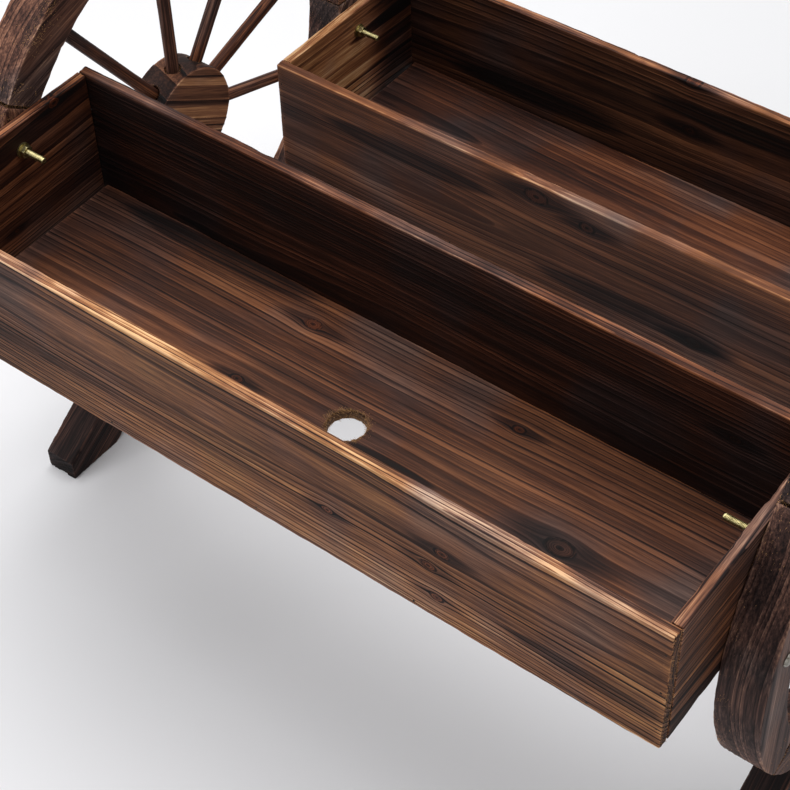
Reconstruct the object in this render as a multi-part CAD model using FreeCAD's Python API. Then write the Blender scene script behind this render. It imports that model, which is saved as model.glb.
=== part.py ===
import FreeCAD, Part
import math
import os
from FreeCAD import Vector

# Flower cart stand: two plank troughs, one high at the front and one low at the back, hang
# between a pair of spoked wooden wheels, and each wheel stands on two slanting feet.
# Millimetres and degrees.  X runs along the troughs, +Y to the back, +Z up.
# The origin is on the floor, under the hubs and midway between the wheels.

# ---- driving sizes ----
trough_length = 720.0         # over the outer faces of the end boards
trough_width = 218.0          # over the outer faces of the long boards
trough_height = 130.0
trough_line_angle = 18.0      # the line through both trough centres and the hub, above level

board_thickness = 10.0        # every trough board
board_arris = 1.2             # rounding of the planed edges along the grain
bottom_end_gap = 3.0          # slit left at each end of a bottom board
drain_diameter = 32.0
drain_shift_x = 7.0           # the drain is bored a little off the middle of the board
drain_shift_y = -5.0

wheel_diameter = 522.0
wheel_lift = 49.0             # floor to the lowest point of the rim
rim_depth = 40.0              # inner edge to tread
rim_thickness = 40.0
rim_chamfer = 2.0
felloe_count = 5              # curved segments that make one rim
spokes_per_felloe = 2
rim_dowel_diameter = 10.0     # hidden pin across each joint of the rim
rim_dowel_length = 40.0

hub_diameter = 106.0
hub_length = 38.0
hub_chamfer = 1.5
spoke_diameter = 12.7
spoke_tenon = 15.0            # length of a spoke held in the rim
socket_wall = 4.0             # wood left between neighbouring sockets at their inner ends
socket_mouth_diameter = 17.0  # widened mouth of each hub socket
socket_mouth_depth = 3.0

leg_slope = 35.0              # above level
leg_width = 54.0              # square to the leg's length
leg_thickness = 35.0
leg_reach = 227.0             # from under the hub to the upright nose of a foot
leg_nose_height = 22.0
leg_arris = 1.5

bolt_diameter = 6.0
bolt_hole_diameter = 6.5
bolt_drop = 26.0              # upper bolt below the top edge of the trough
bolt_projection = 25.0        # bolt end standing inside the trough
bolt_head_diameter = 14.0
bolt_head_height = 3.4
bolt_end_chamfer = 0.8
washer_diameter = 14.0
washer_thickness = 1.4
nut_width = 10.0              # across flats
nut_height = 5.0

screw_rise = 26.0             # lower screw above the bottom edge of the trough
screw_diameter = 5.0
screw_head_diameter = 12.0
screw_head_height = 3.0
screw_tip_length = 7.0
screw_tip_cover = 1.0         # wood left in front of the screw's point

leg_screw_diameter = 4.5
leg_screw_head_diameter = 9.0
leg_screw_head_height = 2.5
leg_screw_spacing = 16.0      # the two screws of one leg, along X
leg_screw_setback = 22.0      # from the upper end of the leg's lower edge
leg_screw_bite = 24.0         # length held in the rim

brad_thickness = 1.6          # square shank
brad_length = 30.0
corner_brads = 3              # in each corner of a trough
bottom_brads = 5              # along each side of a bottom board
brad_end_margin = 22.0        # first corner brad from the board's edge
bottom_brad_margin = 60.0     # first bottom brad from the end of the trough

glue_gap = 0.1                # round a pin, spoke or screw in its hole
tread_gap = 0.2               # between the tread and the hollow end of a leg
socket_end_gap = 1.0          # beyond the end of a pin or spoke

# ---- worked-out places ----
tread_radius = wheel_diameter / 2
rim_inner_radius = tread_radius - rim_depth
rim_middle_radius = tread_radius - rim_depth / 2
hub_height = tread_radius + wheel_lift
trough_end_x = trough_length / 2
rim_middle_x = -trough_end_x - rim_thickness / 2
rim_outer_x = -trough_end_x - rim_thickness
spoke_count = felloe_count * spokes_per_felloe
spoke_pitch = 360.0 / spoke_count
joint_pitch = 360.0 / felloe_count
trough_centre_y = rim_middle_radius * math.cos(math.radians(trough_line_angle))
trough_centre_z = rim_middle_radius * math.sin(math.radians(trough_line_angle))

along_x = Vector(1, 0, 0)
along_y = Vector(0, 1, 0)
along_z = Vector(0, 0, 1)

parts = {}
fasteners = {name: [] for name in ("trough_bolts", "bolt_washers", "bolt_nuts", "rim_screws")}
end_holes = []                # drilled through the left rim and the left end boards


def around_hub(angle):
    """Unit vector square to the hub axis; 0 points back and 90 points up."""
    return Vector(0, math.cos(math.radians(angle)), math.sin(math.radians(angle)))


def rod(start, end, diameter):
    run = end - start
    return Part.makeCylinder(diameter / 2, run.Length, start, run)


def block(low, high):
    return Part.makeBox(high.x - low.x, high.y - low.y, high.z - low.z, low)


def planed_board(low, high, grain, arris):
    """A board between two corners, its edges along the grain rounded."""
    board = block(low, high)
    edges = [e for e in board.Edges if abs(e.tangentAt(e.FirstParameter).dot(grain)) > 0.9]
    return board.makeFillet(arris, edges)


def lifted(shape):
    """From the frame centred on the hub to the frame that stands on the floor."""
    return shape.translated(Vector(0, 0, hub_height))


def mirrored_x(shape):
    return shape.mirror(Vector(0, 0, 0), along_x)


def mirrored_y(shape):
    return shape.mirror(Vector(0, 0, 0), along_y)


def drill(shape, cutters):
    """Cut only the holes whose boxes reach the shape."""
    near = [c for c in cutters if c.BoundBox.intersect(shape.BoundBox)]
    return shape.cut(near) if near else shape


# ---- fastener shapes ----
def swept_round(face, start, direction):
    """Revolve a half section drawn beside +X about the axis from start along direction."""
    solid = face.revolve(Vector(0, 0, 0), along_x, 360)
    solid.Placement = FreeCAD.Placement(start, FreeCAD.Rotation(along_x, direction))
    return solid


def turned(profile, start, direction):
    """A turned piece from its (along, radius) corners."""
    points = [Vector(along, radius, 0) for along, radius in profile]
    return swept_round(Part.Face(Part.makePolygon(points + [points[0]])), start, direction)


def coach_bolt(seat, direction, length):
    """Bolt whose domed head sits on seat and whose shank runs along direction."""
    crown = Vector(-bolt_head_height, 0, 0)
    brim = Vector(0, bolt_head_diameter / 2, 0)
    dome_radius = (brim.y ** 2 + bolt_head_height ** 2) / (2 * bolt_head_height)
    half_sweep = math.asin(brim.y / dome_radius) / 2
    shoulder = Vector(dome_radius * (1 - math.cos(half_sweep)) - bolt_head_height,
                      dome_radius * math.sin(half_sweep), 0)
    radius = bolt_diameter / 2
    outline = [brim, Vector(0, radius, 0), Vector(length - bolt_end_chamfer, radius, 0),
               Vector(length, radius - bolt_end_chamfer, 0), Vector(length, 0, 0), crown]
    edges = [Part.Arc(crown, shoulder, brim).toShape()]
    edges += [Part.LineSegment(a, b).toShape() for a, b in zip(outline, outline[1:])]
    return swept_round(Part.Face(Part.Wire(edges)), seat, direction)


def wood_screw(seat, direction, length, shank, head, head_height):
    """Round-headed screw whose head sits on seat; length is measured under the head."""
    return turned([(-head_height, 0), (-head_height, head / 2 - head_height / 2),
                   (-head_height / 2, head / 2), (0, head / 2), (0, shank / 2),
                   (length - screw_tip_length, shank / 2), (length, 0)], seat, direction)


def washer_on(seat, direction):
    ring = rod(seat, seat + direction * washer_thickness, washer_diameter)
    return ring.cut(rod(seat, seat + direction * washer_thickness, bolt_hole_diameter))


def nut_on(seat, direction):
    corner = nut_width / math.sqrt(3)
    points = []
    for k in range(6):
        spin = math.radians(60 * k + 30)
        points.append(seat + Vector(0, corner * math.cos(spin), corner * math.sin(spin)))
    prism = Part.Face(Part.makePolygon(points + [points[0]])).extrude(direction * nut_height)
    return prism.cut(rod(seat, seat + direction * nut_height, bolt_diameter + 2 * glue_gap))


# ---- what holds the troughs to the rims, seen from the left wheel ----
def rim_middle_y(height, side):
    """Where the rim's middle line passes at a height above the hub, on one side of it."""
    return side * math.sqrt(rim_middle_radius ** 2 - height ** 2)


def hang_trough(side, centre_z):
    """Bolt and screw for one end of a trough; side is -1 at the front and 1 at the back."""
    bolt_z = centre_z + trough_height / 2 - bolt_drop
    bolt_seat = Vector(rim_outer_x, rim_middle_y(bolt_z, side), bolt_z)
    wall_face = bolt_seat + along_x * (rim_thickness + board_thickness)
    bolt_length = rim_thickness + board_thickness + bolt_projection
    fasteners["trough_bolts"].append(coach_bolt(bolt_seat, along_x, bolt_length))
    fasteners["bolt_washers"].append(washer_on(wall_face, along_x))
    fasteners["bolt_nuts"].append(nut_on(wall_face + along_x * washer_thickness, along_x))
    end_holes.append(rod(bolt_seat - along_x, wall_face + along_x, bolt_hole_diameter))

    screw_z = centre_z - trough_height / 2 + screw_rise
    screw_seat = Vector(rim_outer_x, rim_middle_y(screw_z, side), screw_z)
    screw_length = rim_thickness + board_thickness - screw_tip_cover
    fasteners["rim_screws"].append(wood_screw(screw_seat, along_x, screw_length, screw_diameter,
                                              screw_head_diameter, screw_head_height))
    end_holes.append(wood_screw(screw_seat, along_x, screw_length + glue_gap,
                                screw_diameter + 2 * glue_gap, screw_head_diameter,
                                screw_head_height))


# ---- wheel ----
hub_hole_diameter = spoke_diameter + 2 * glue_gap
socket_inner_radius = ((hub_hole_diameter + socket_wall) / 2) / math.sin(math.radians(spoke_pitch / 2))
spoke_outer_radius = rim_inner_radius + spoke_tenon


def on_rim(angle, radius):
    return Vector(rim_middle_x, 0, 0) + around_hub(angle) * radius


def hub():
    half = hub_length / 2
    radius = hub_diameter / 2
    body = turned([(-half, 0), (-half, radius - hub_chamfer), (-half + hub_chamfer, radius),
                   (half - hub_chamfer, radius), (half, radius - hub_chamfer), (half, 0)],
                  Vector(rim_middle_x, 0, 0), along_x)
    holes = []
    for k in range(spoke_count):
        angle = (k + 0.5) * spoke_pitch
        inner = on_rim(angle, socket_inner_radius - socket_end_gap)
        mouth = on_rim(angle, radius - socket_mouth_depth)
        outside = on_rim(angle, radius + socket_mouth_depth)
        holes.append(rod(inner, outside, hub_hole_diameter))
        holes.append(rod(mouth, outside, socket_mouth_diameter))
    return body.cut(holes)


def spoke(index):
    angle = (index + 0.5) * spoke_pitch
    return rod(on_rim(angle, socket_inner_radius), on_rim(angle, spoke_outer_radius), spoke_diameter)


def spoke_hole(index):
    angle = (index + 0.5) * spoke_pitch
    return rod(on_rim(angle, rim_inner_radius - rim_chamfer),
               on_rim(angle, spoke_outer_radius + socket_end_gap), hub_hole_diameter)


def rim_dowel(index, extra_length, extra_diameter):
    """Pin square to a joint of the rim, half in each felloe."""
    angle = index * joint_pitch
    reach = around_hub(angle + 90) * (rim_dowel_length / 2 + extra_length)
    middle = on_rim(angle, rim_middle_radius)
    return rod(middle - reach, middle + reach, rim_dowel_diameter + extra_diameter)


def felloe(index, holes):
    """One curved segment of the rim, from one joint to the next."""
    half = rim_thickness / 2
    corners = [(-half, rim_inner_radius + rim_chamfer), (-half + rim_chamfer, rim_inner_radius),
               (half - rim_chamfer, rim_inner_radius), (half, rim_inner_radius + rim_chamfer),
               (half, tread_radius - rim_chamfer), (half - rim_chamfer, tread_radius),
               (-half + rim_chamfer, tread_radius), (-half, tread_radius - rim_chamfer)]
    points = [Vector(rim_middle_x + x, radius, 0) for x, radius in corners]
    section = Part.Face(Part.makePolygon(points + [points[0]]))
    segment = section.revolve(Vector(0, 0, 0), along_x, joint_pitch)
    segment.rotate(Vector(0, 0, 0), along_x, index * joint_pitch)
    return drill(segment, holes)


# ---- legs: seen from the left, the foot points to the front ----
leg_run = Vector(0, math.cos(math.radians(leg_slope)), math.sin(math.radians(leg_slope)))
leg_square = Vector(0, -leg_run.z, leg_run.y)
toe = Vector(0, -leg_reach, -hub_height)
nose_top = toe + along_z * leg_nose_height
sole_length = (leg_width - leg_nose_height * leg_run.y) / leg_run.z
heel = toe + along_y * sole_length


def distance_to_tread(point, direction):
    """Distance from a point along a unit direction to the tread circle, touched first."""
    back = point.dot(direction)
    inside = back ** 2 - point.dot(point) + (tread_radius + tread_gap) ** 2
    return -back - math.sqrt(inside)


lower_edge_length = distance_to_tread(heel, leg_run)
leg_screw_start = heel + leg_run * (lower_edge_length - leg_screw_setback)
leg_screw_length = distance_to_tread(leg_screw_start, leg_square) + leg_screw_bite
leg_screw_seats = [leg_screw_start + Vector(rim_middle_x + step * leg_screw_spacing / 2, 0, 0)
                   for step in (-1, 1)]


def leg_screw(seat, extra):
    return wood_screw(seat + leg_square * leg_screw_head_height, leg_square,
                      leg_screw_length - leg_screw_head_height + extra,
                      leg_screw_diameter + 2 * extra, leg_screw_head_diameter + 2 * extra,
                      leg_screw_head_height)


def front_leg(screw_holes):
    """Slanting foot with a flat sole, an upright nose and a hollow end that takes the tread."""
    overrun = leg_run * (lower_edge_length + leg_width / 4)
    corners = [toe, heel, heel + overrun, heel + overrun + leg_square * leg_width, nose_top]
    start = Vector(rim_middle_x - leg_thickness / 2, 0, 0)
    outline = Part.makePolygon([start + p for p in corners + [corners[0]]])
    plank = Part.Face(outline).extrude(along_x * leg_thickness)
    edges = [e for e in plank.Edges if abs(e.tangentAt(e.FirstParameter).dot(leg_run)) > 0.99]
    plank = plank.makeFillet(leg_arris, edges)
    wheel_disc = rod(Vector(rim_outer_x, 0, 0), Vector(-trough_end_x, 0, 0),
                     2 * (tread_radius + tread_gap))
    return plank.cut([wheel_disc] + screw_holes)


# ---- troughs ----
def brad(start, direction):
    half = brad_thickness / 2
    end = start + direction * brad_length
    low = Vector(start.x - half, min(start.y, end.y), start.z - half)
    high = Vector(start.x + half, max(start.y, end.y), start.z + half)
    return block(low, high)


def trough_brads(centre):
    """Brads driven through the long boards into the end boards and the bottom board."""
    brads = []
    half_height = trough_height / 2
    corner_step = (trough_height - 2 * brad_end_margin) / (corner_brads - 1)
    bottom_step = (trough_length - 2 * bottom_brad_margin) / (bottom_brads - 1)
    for side in (-1, 1):
        inward = along_y * -side
        face_y = centre.y + side * trough_width / 2
        for end in (-1, 1):
            x = end * (trough_end_x - board_thickness / 2)
            for k in range(corner_brads):
                z = centre.z - half_height + brad_end_margin + k * corner_step
                brads.append(brad(Vector(x, face_y, z), inward))
        for k in range(bottom_brads):
            x = -trough_end_x + bottom_brad_margin + k * bottom_step
            z = centre.z - half_height + board_thickness / 2
            brads.append(brad(Vector(x, face_y, z), inward))
    return brads


def add_trough(name, centre, holes, brads):
    """Two full-length long boards, two end boards and a bottom board between them."""
    half_width = trough_width / 2
    half_height = trough_height / 2
    inner_x = trough_end_x - board_thickness
    inner_y = half_width - board_thickness
    low = centre - Vector(0, 0, half_height)

    boards = {}
    front_low = low + Vector(-trough_end_x, -half_width, 0)
    front_high = low + Vector(trough_end_x, -inner_y, trough_height)
    boards["front_board"] = planed_board(front_low, front_high, along_x, board_arris)
    back_low = low + Vector(-trough_end_x, inner_y, 0)
    back_high = low + Vector(trough_end_x, half_width, trough_height)
    boards["back_board"] = planed_board(back_low, back_high, along_x, board_arris)
    end_low = low + Vector(-trough_end_x, -inner_y, 0)
    end_high = low + Vector(-inner_x, inner_y, trough_height)
    left_end = planed_board(end_low, end_high, along_y, board_arris)
    boards["left_end"] = left_end
    boards["right_end"] = left_end.mirror(Vector(0, 0, 0), along_x)

    bottom_low = low + Vector(-inner_x + bottom_end_gap, -inner_y, 0)
    bottom_high = low + Vector(inner_x - bottom_end_gap, inner_y, board_thickness)
    bottom = planed_board(bottom_low, bottom_high, along_x, board_arris)
    drain = low + Vector(drain_shift_x, drain_shift_y, -board_thickness)
    boards["bottom"] = bottom.cut(rod(drain, drain + along_z * 3 * board_thickness, drain_diameter))

    for board_name, board in boards.items():
        parts[name + "_" + board_name] = lifted(drill(board, holes + brads))


def both_wheels(name, shape):
    parts["left_" + name] = lifted(shape)
    parts["right_" + name] = lifted(mirrored_x(shape))


def both_ends(shapes):
    """A fastener group: the left wheel's pieces and their mirror images at the right."""
    return Part.makeCompound([lifted(s) for s in shapes] + [lifted(mirrored_x(s)) for s in shapes])


# ---- the whole stand ----
hang_trough(-1, trough_centre_z)
hang_trough(1, -trough_centre_z)
trough_holes = end_holes + [mirrored_x(h) for h in end_holes]
front_centre = Vector(0, -trough_centre_y, trough_centre_z)
rear_centre = Vector(0, trough_centre_y, -trough_centre_z)
front_brads = trough_brads(front_centre)
rear_brads = trough_brads(rear_centre)
add_trough("front_trough", front_centre, trough_holes, front_brads)
add_trough("rear_trough", rear_centre, trough_holes, rear_brads)

front_leg_screws = [leg_screw(seat, 0) for seat in leg_screw_seats]
front_leg_holes = [leg_screw(seat, glue_gap) for seat in leg_screw_seats]
leg_holes = front_leg_holes + [mirrored_y(h) for h in front_leg_holes]
leg = front_leg(front_leg_holes)
both_wheels("front_leg", leg)
both_wheels("rear_leg", mirrored_y(leg))

spoke_holes = [spoke_hole(k) for k in range(spoke_count)]
dowel_holes = [rim_dowel(k, socket_end_gap, 2 * glue_gap) for k in range(felloe_count)]
rim_holes = end_holes + leg_holes + spoke_holes + dowel_holes
both_wheels("hub", hub())
for k in range(felloe_count):
    both_wheels("felloe_%d" % (k + 1), felloe(k, rim_holes))
for k in range(spoke_count):
    both_wheels("spoke_%02d" % (k + 1), spoke(k))

fasteners["rim_dowels"] = [rim_dowel(k, 0, 0) for k in range(felloe_count)]
fasteners["leg_screws"] = front_leg_screws + [mirrored_y(s) for s in front_leg_screws]
for name, shapes in fasteners.items():
    parts[name] = both_ends(shapes)
parts["trough_brads"] = Part.makeCompound([lifted(b) for b in front_brads + rear_brads])

os.makedirs("parts", exist_ok=True)
for name, shape in parts.items():
    shape.exportStep("parts/%s.step" % name)
print("%d nodes, %d solids" % (len(parts), sum(len(s.Solids) for s in parts.values())))
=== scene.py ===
import bpy
import math
import numpy as np
from functools import partial
from mathutils import Matrix, Vector


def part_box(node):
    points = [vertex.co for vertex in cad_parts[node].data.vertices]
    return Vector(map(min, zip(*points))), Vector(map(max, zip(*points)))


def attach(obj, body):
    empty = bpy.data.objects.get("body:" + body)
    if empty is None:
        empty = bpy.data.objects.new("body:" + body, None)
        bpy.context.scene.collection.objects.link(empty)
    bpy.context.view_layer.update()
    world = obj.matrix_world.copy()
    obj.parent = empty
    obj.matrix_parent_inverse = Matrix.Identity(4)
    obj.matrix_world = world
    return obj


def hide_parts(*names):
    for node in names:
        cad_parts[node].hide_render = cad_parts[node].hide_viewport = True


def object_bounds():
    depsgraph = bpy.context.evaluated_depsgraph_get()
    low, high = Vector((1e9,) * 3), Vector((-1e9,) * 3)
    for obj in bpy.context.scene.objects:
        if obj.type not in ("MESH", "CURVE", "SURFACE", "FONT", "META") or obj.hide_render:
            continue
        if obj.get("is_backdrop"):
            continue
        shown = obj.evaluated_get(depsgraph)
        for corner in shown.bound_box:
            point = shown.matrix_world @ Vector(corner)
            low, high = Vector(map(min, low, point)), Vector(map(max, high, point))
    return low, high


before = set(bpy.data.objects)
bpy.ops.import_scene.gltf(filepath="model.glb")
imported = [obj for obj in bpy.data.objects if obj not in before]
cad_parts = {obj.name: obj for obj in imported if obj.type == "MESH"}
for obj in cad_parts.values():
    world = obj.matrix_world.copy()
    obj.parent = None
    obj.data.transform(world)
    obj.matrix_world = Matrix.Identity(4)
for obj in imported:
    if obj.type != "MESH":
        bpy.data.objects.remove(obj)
cadLow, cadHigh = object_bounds()
mm = 0.001


# small helpers
def linear(code):
    # sRGB hex to the linear colour that nodes take
    channels = [int(code[i:i + 2], 16) / 255 for i in (1, 3, 5)]
    return tuple(c / 12.92 if c < 0.04045 else ((c + 0.055) / 1.055) ** 2.4 for c in channels) + (1,)


def addNode(tree, kind, *inputs, **settings):
    # one node with its settings. Inputs are values or sockets, in the node's order or by name in a
    # dictionary, and a node's outputs stand for the first of them. "Math" is short for "ShaderNodeMath".
    node = tree.nodes.new(kind if "Node" in kind else "ShaderNode" + kind)
    for name, value in settings.items():
        setattr(node, name, value)
    for place, given in enumerate(inputs):
        for key, value in (given if isinstance(given, dict) else {place: given}).items():
            if isinstance(value, bpy.types.bpy_prop_collection):
                value = value[0]
            if isinstance(value, bpy.types.NodeSocket):
                tree.links.new(value, node.inputs[key])
            else:
                node.inputs[key].default_value = value
    return node.outputs


def newTree(name, inputs, outputs, kind="Geometry"):
    # a node group, the function that adds nodes to it, and its inputs
    tree = bpy.data.node_groups.new(name, kind + "NodeTree")
    for way, sockets in (("INPUT", inputs), ("OUTPUT", outputs)):
        for label, sort in sockets.items():
            tree.interface.new_socket(name=label, in_out=way, socket_type="NodeSocket" + sort)
    add = partial(addNode, tree)
    return tree, add, add("NodeGroupInput")


def newMaterial(name):
    # an empty material and the function that adds nodes to it
    material = bpy.data.materials.new(name)
    material.use_nodes = True
    material.node_tree.nodes.clear()
    return material, partial(addNode, material.node_tree)


def addRamp(outputs, stops):
    ramp = outputs[0].node.color_ramp
    while len(ramp.elements) < len(stops):
        ramp.elements.new(0.5)
    for element, (place, code) in zip(ramp.elements, stops):
        element.position = place
        element.color = linear(code)
    return outputs[0]


def linked(name, data):
    thing = bpy.data.objects.new(name, data)
    bpy.context.scene.collection.objects.link(thing)
    return thing


def meshObject(name, points, faces):
    mesh = bpy.data.meshes.new(name)
    mesh.from_pydata(np.asarray(points).tolist(), [], faces.tolist() if isinstance(faces, np.ndarray) else faces)
    mesh.update()
    return linked(name, mesh)


def bakeDown(thing, name):
    # the evaluated result as a plain mesh on an object of its own, at the origin
    thing.name = name + "Draft"
    graph = bpy.context.evaluated_depsgraph_get()
    mesh = bpy.data.meshes.new_from_object(thing.evaluated_get(graph), depsgraph=graph)
    mesh.name = name
    result = linked(name, mesh)
    bpy.data.objects.remove(thing)
    return result


def bakeNodes(thing, name, group, values):
    # the result of a node group whose inputs have these values, as far as it has them
    modifier = thing.modifiers.new("nodes", "NODES")
    modifier.node_group = group
    for item in group.interface.items_tree:
        if item.item_type == "SOCKET" and item.in_out == "INPUT" and item.name in values:
            modifier[item.identifier] = values[item.name]
    return bakeDown(thing, name)


def cutAway(thing, points, faces):
    # takes a closed form, with its points in mm, out of a piece
    cutter = meshObject("cutter", np.asarray(points) * mm, faces)
    cut = thing.modifiers.new("cut", "BOOLEAN")
    cut.operation, cut.solver, cut.object = "DIFFERENCE", "MANIFOLD", cutter
    done = bakeDown(thing, thing.name)
    bpy.data.objects.remove(cutter)
    return done


# camera, floor and light
camera = dict(place=(0.66058, -0.99183, 1.44114), right=(0.79822, 0.60185, -0.02487),
              up=(-0.42821, 0.59599, 0.67929), lens=86.255)
lens = bpy.data.cameras.new("camera")
lens.lens = camera["lens"]
lens.sensor_width = 36
eye = linked("camera", lens)
right, up = Vector(camera["right"]), Vector(camera["up"])
turn = Matrix((right, up, right.cross(up))).transposed()
eye.matrix_world = Matrix.Translation(camera["place"]) @ turn.to_4x4()
bpy.context.scene.camera = eye
bpy.context.scene.view_settings.view_transform = "Standard"

studio = dict(topPower=62, topPlace=(-0.42, 0.2, 2.4), topSize=(2.4, 2.2),
              sidePower=24, sidePlace=(-1.3, -2.3, 1.9), sideSize=(1.6, 1.4), world=0.40,
              floorFront="#ebebee", floorBack="#e4e4e6", backdrop="#f5f5f5")


def areaLight(name, power, place, target, size):
    lamp = bpy.data.lights.new(name, "AREA")
    lamp.shape = "RECTANGLE"
    lamp.size, lamp.size_y = size
    lamp.energy = power
    holder = linked(name, lamp)
    holder.location = place
    holder.rotation_euler = (Vector(target) - Vector(place)).to_track_quat("-Z", "Y").to_euler()


areaLight("topSoftbox", studio["topPower"], studio["topPlace"], (0, 0, 0.2), studio["topSize"])
areaLight("sideSoftbox", studio["sidePower"], studio["sidePlace"], (0, 0, 0.3), studio["sideSize"])

world = bpy.data.worlds.new("studio")
world.use_nodes = True
bpy.context.scene.world = world
world.node_tree.nodes.clear()
add = partial(addNode, world.node_tree)
rays = add("LightPath")
seen = add("Math", rays["Is Camera Ray"], rays["Is Glossy Ray"], operation="MAXIMUM")
seen = add("Math", seen, rays["Is Transmission Ray"], operation="MAXIMUM")
strength = add("MapRange", seen, {"To Min": studio["world"], "To Max": 1.0})
sky = add("Background", {"Color": linear(studio["backdrop"]), "Strength": strength})
add("OutputWorld", {"Surface": sky})

floor = meshObject("floor", [(-8, -8, 0), (8, -8, 0), (8, 8, 0), (-8, 8, 0)], [(0, 1, 2, 3)])
floor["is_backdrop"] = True
paper, add = newMaterial("mattStudioPaper")   # pale paper sweep, darker towards the back
place = add("TexCoord")["Object"]
axes = add("SeparateXYZ", place)
# painted light and shade: the paper is coloured lighter at the front and darker towards the back, standing in for how
# the light falls across the floor
depth = add("MapRange", axes["Y"], {"From Min": -0.9, "From Max": 1.0}, interpolation_type="SMOOTHSTEP")
paintedFalloff = add("Mix", depth, {6: linear(studio["floorFront"]), 7: linear(studio["floorBack"])}, data_type="RGBA")
skin = add("BsdfPrincipled", {"Base Color": paintedFalloff[2], "Roughness": 0.85})
add("OutputMaterial", {"Surface": skin})
floor.data.materials.append(paper)
print("studio ready")


# burnt and brushed fir
# A softwood board is scorched with a flame, which blackens the soft early wood and the end
# grain, then brushed with wire along the grain, which wears the early wood back between the
# hard late lines and shows brown again, and gets one thin coat of oil.
fir = dict(warpSize=(0.0026, 0.009, 0.009), warpDepth=7.0,      # per mm of wood; mm
           waveSize=(0.013, 0.10, 0.10), waveDepth=0.45,
           fibreSize=(0.036, 0.80, 0.80), streakSize=(0.0042, 0.42, 0.42), scorchSize=(0.0030, 0.040, 0.040),
           knotRing=1.3, knots=4, scorches=2)


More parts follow.
